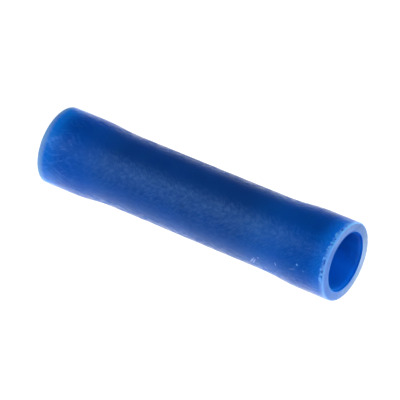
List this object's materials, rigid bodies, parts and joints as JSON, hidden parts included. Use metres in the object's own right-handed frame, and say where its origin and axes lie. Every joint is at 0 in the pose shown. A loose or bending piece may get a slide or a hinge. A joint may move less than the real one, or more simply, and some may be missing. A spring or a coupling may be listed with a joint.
{
  "type": "butt splice connector",
  "caption": "Insulated crimp connector for joining wires end to end: a metal barrel with a central wire stop inside a blue vinyl sleeve with belled ends.",
  "frame": {"origin": "centre of the lower rim, in the plane the connector stands on", "axes": "+Z along the connector's own axis, from the lower mouth to the upper one; +X through the seam of the crimp barrel"},
  "size_m": [0.0062, 0.0062, 0.026],
  "materials": {
    "blue_vinyl": "satin, slightly translucent, with fine drawn wrinkles",
    "tinned_copper": "bright tin plating over copper"
  },
  "bodies": {
    "root": {"insulating_sleeve": "blue_vinyl", "crimp_barrel": "tinned_copper"}
  },
  "joints": []
}
